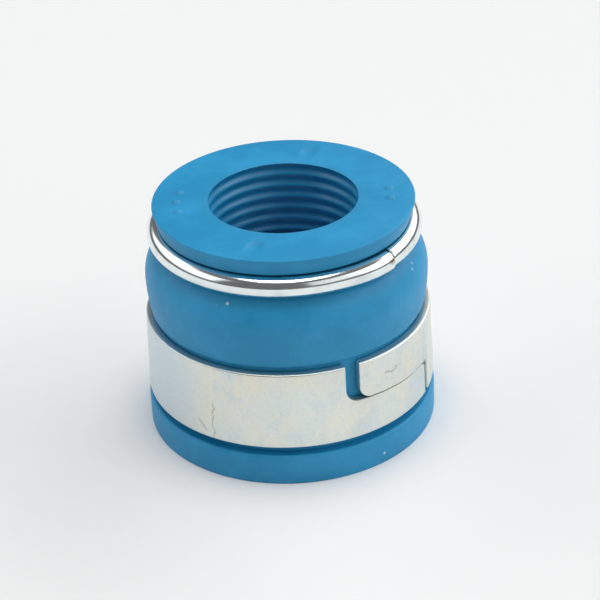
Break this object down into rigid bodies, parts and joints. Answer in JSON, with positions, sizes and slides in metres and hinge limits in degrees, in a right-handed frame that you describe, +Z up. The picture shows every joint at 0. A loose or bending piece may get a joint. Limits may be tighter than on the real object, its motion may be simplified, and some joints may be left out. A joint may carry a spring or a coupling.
{
  "type": "valve stem seal",
  "caption": "Moulded rubber valve stem seal with a ribbed stem bore, a split wire ring round its neck and a stepped sheet-steel band clamp round its skirt.",
  "frame": {"origin": "centre of the seal's bottom face, on its bore axis", "axes": "+Z up along the bore axis, from the guide end to the stem end; -Y towards the side where the joints of both metal rings show"},
  "size_m": [0.017, 0.017, 0.0139],
  "materials": {
    "rubber": "satin moulded blue elastomer",
    "wire": "bright drawn and plated spring wire",
    "band": "satin zinc-plated sheet steel"
  },
  "bodies": {
    "root": {"seal_body": "rubber", "wire_ring": "wire", "band_clamp": "band"}
  },
  "joints": []
}
